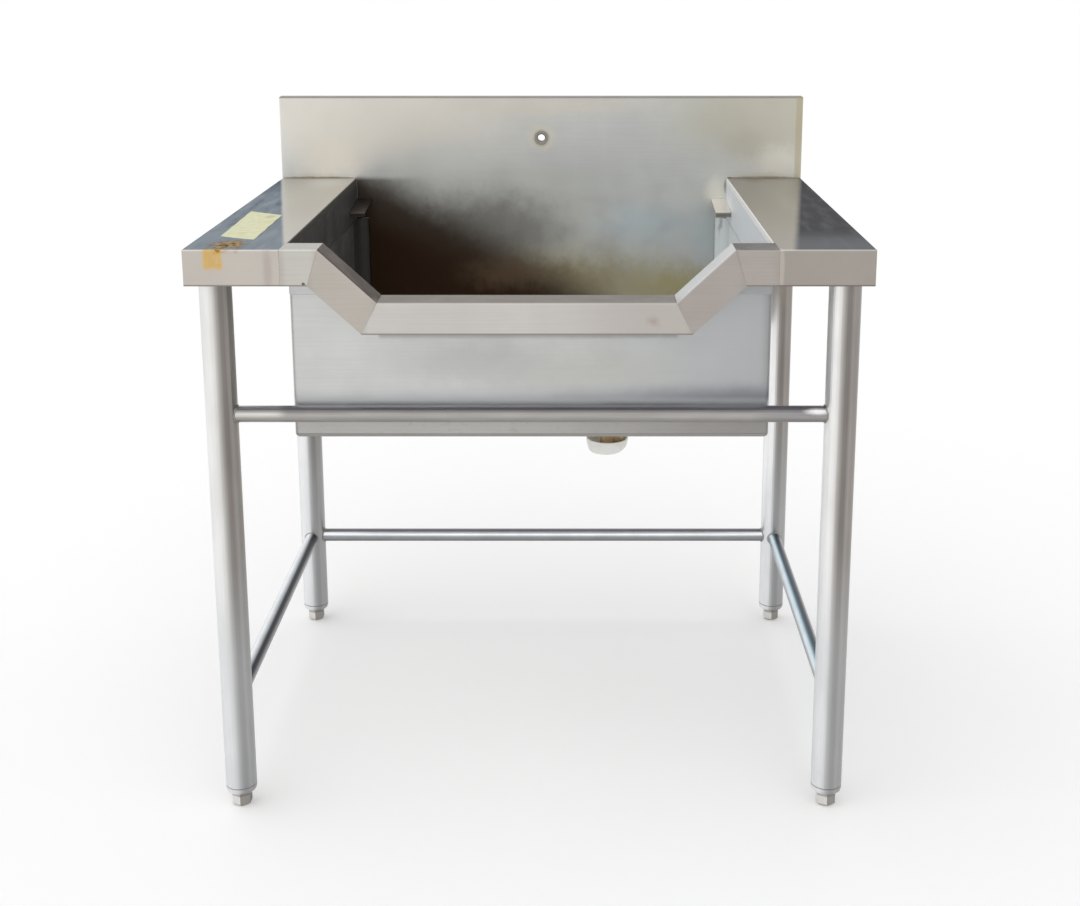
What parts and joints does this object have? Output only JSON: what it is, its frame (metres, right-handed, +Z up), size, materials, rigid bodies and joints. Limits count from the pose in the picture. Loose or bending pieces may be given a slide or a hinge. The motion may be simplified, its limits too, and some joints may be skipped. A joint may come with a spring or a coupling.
{
  "type": "fish-cleaning sink",
  "caption": "Free-standing stainless steel sink on tube legs, with a deep bowl cut low at the front, flat side wings, a backsplash and screw feet.",
  "frame": {"origin": "on the floor, under the middle of the sink's outline", "axes": "+Z up, +Y towards the backsplash, +X to the right seen from the front"},
  "size_m": [1, 0.78, 1.056],
  "materials": {
    "brushed_sheet": "brushed stainless sheet, dulled by use, with ground welds",
    "polished_tube": "satin-polished stainless tube",
    "plain_steel": "mill-finished stainless steel",
    "brass": "cast brass, tarnished",
    "white_plastic": "moulded white plastic, a little translucent",
    "black_rubber": "moulded black rubber"
  },
  "bodies": {
    "frame": {"back_panel": "brushed_sheet", "bowl_wrap": "brushed_sheet", "collar_left": "brushed_sheet", "collar_right": "brushed_sheet", "bowl_floor": "brushed_sheet", "left_shelf": "brushed_sheet", "right_shelf": "brushed_sheet", "front_rim_left": "brushed_sheet", "front_rim_left_slope": "brushed_sheet", "front_rim_centre": "brushed_sheet", "front_rim_right_slope": "brushed_sheet", "front_rim_right": "brushed_sheet", "rear_ledge_left": "brushed_sheet", "rear_ledge_right": "brushed_sheet", "leg_front_left": "polished_tube", "leg_front_right": "polished_tube", "leg_back_left": "polished_tube", "leg_back_right": "polished_tube", "front_rail": "polished_tube", "back_rail": "polished_tube", "side_rail_left": "polished_tube", "side_rail_right": "polished_tube", "foot_insert_front_left": "polished_tube", "foot_insert_front_right": "polished_tube", "foot_insert_back_left": "polished_tube", "foot_insert_back_right": "polished_tube", "tap_socket": "polished_tube", "shelf_channel_left": "plain_steel", "shelf_channel_right": "plain_steel", "leg_plate_front_left": "plain_steel", "leg_plate_front_right": "plain_steel", "leg_plate_back_left": "plain_steel", "leg_plate_back_right": "plain_steel", "waste_body": "plain_steel", "waste_clamp_ring": "plain_steel", "brass_tail": "brass", "back_nut": "brass", "waste_seal": "black_rubber", "tail_gasket": "black_rubber", "outlet_cup": "white_plastic"},
    "strainer": {"strainer": "polished_tube"},
    "stem_front_left": {"foot_stem_front_left": "plain_steel"},
    "pad_front_left": {"foot_pad_front_left": "polished_tube"},
    "stem_front_right": {"foot_stem_front_right": "plain_steel"},
    "pad_front_right": {"foot_pad_front_right": "polished_tube"},
    "stem_back_left": {"foot_stem_back_left": "plain_steel"},
    "pad_back_left": {"foot_pad_back_left": "polished_tube"},
    "stem_back_right": {"foot_stem_back_right": "plain_steel"},
    "pad_back_right": {"foot_pad_back_right": "polished_tube"}
  },
  "joints": [
    {"name": "strainer_lift", "type": "slide", "parent": "frame", "child": "strainer", "axis": [0, 0, 1], "range_m": [0, 0.5]},
    {"name": "foot_travel_front_left", "type": "slide", "parent": "frame", "child": "stem_front_left", "axis": [0, 0, -1], "range_m": [0, 0.02]},
    {"name": "foot_turn_front_left", "type": "hinge", "parent": "stem_front_left", "child": "pad_front_left", "pos_m": [-0.463, -0.352, 0.011], "axis": [0, 0, -1], "range_deg": [0, 4115]},
    {"name": "foot_travel_front_right", "type": "slide", "parent": "frame", "child": "stem_front_right", "axis": [0, 0, -1], "range_m": [0, 0.02]},
    {"name": "foot_turn_front_right", "type": "hinge", "parent": "stem_front_right", "child": "pad_front_right", "pos_m": [0.463, -0.352, 0.011], "axis": [0, 0, -1], "range_deg": [0, 4115]},
    {"name": "foot_travel_back_left", "type": "slide", "parent": "frame", "child": "stem_back_left", "axis": [0, 0, -1], "range_m": [0, 0.02]},
    {"name": "foot_turn_back_left", "type": "hinge", "parent": "stem_back_left", "child": "pad_back_left", "pos_m": [-0.463, 0.34, 0.011], "axis": [0, 0, -1], "range_deg": [0, 4115]},
    {"name": "foot_travel_back_right", "type": "slide", "parent": "frame", "child": "stem_back_right", "axis": [0, 0, -1], "range_m": [0, 0.02]},
    {"name": "foot_turn_back_right", "type": "hinge", "parent": "stem_back_right", "child": "pad_back_right", "pos_m": [0.463, 0.34, 0.011], "axis": [0, 0, -1], "range_deg": [0, 4115]}
  ],
  "couplings": [
    {"joint": "foot_turn_front_left", "follows": "foot_travel_front_left", "rad_per_m": 3590.4},
    {"joint": "foot_turn_front_right", "follows": "foot_travel_front_right", "rad_per_m": 3590.4},
    {"joint": "foot_turn_back_left", "follows": "foot_travel_back_left", "rad_per_m": 3590.4},
    {"joint": "foot_turn_back_right", "follows": "foot_travel_back_right", "rad_per_m": 3590.4}
  ]
}
